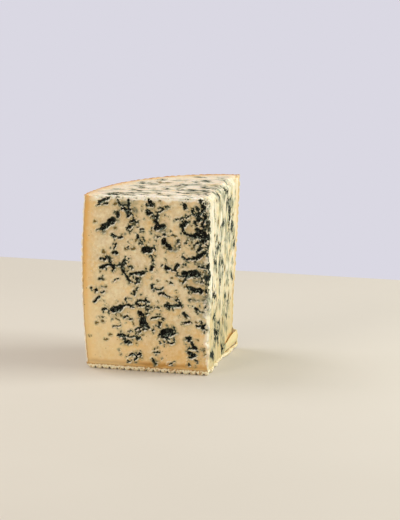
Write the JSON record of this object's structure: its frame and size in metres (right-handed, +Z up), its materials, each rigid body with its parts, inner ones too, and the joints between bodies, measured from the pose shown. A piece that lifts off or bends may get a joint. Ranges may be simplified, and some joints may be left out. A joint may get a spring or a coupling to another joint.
{
  "type": "blue cheese wedge",
  "caption": "Quarter of a drum of blue cheese cut across at half its height, with a moulded rind, a stud-printed base and blue-black mould pockets in its cut faces.",
  "frame": {"origin": "bottom centre of the piece's own box, on the plane of the base studs", "axes": "+Z up along the cheese drum's axis, -Y out of the front cut face, +X out of the side cut face, rind towards -X and +Y"},
  "size_m": [0.1028, 0.1027, 0.1438],
  "materials": {
    "paste": "soft moist ivory cheese paste, satin, slightly translucent",
    "rind": "dry, rough, mottled cream and tan natural rind",
    "mould": "matt blue-green to black mould"
  },
  "bodies": {
    "root": {"cheese_wedge": "paste"}
  },
  "joints": []
}
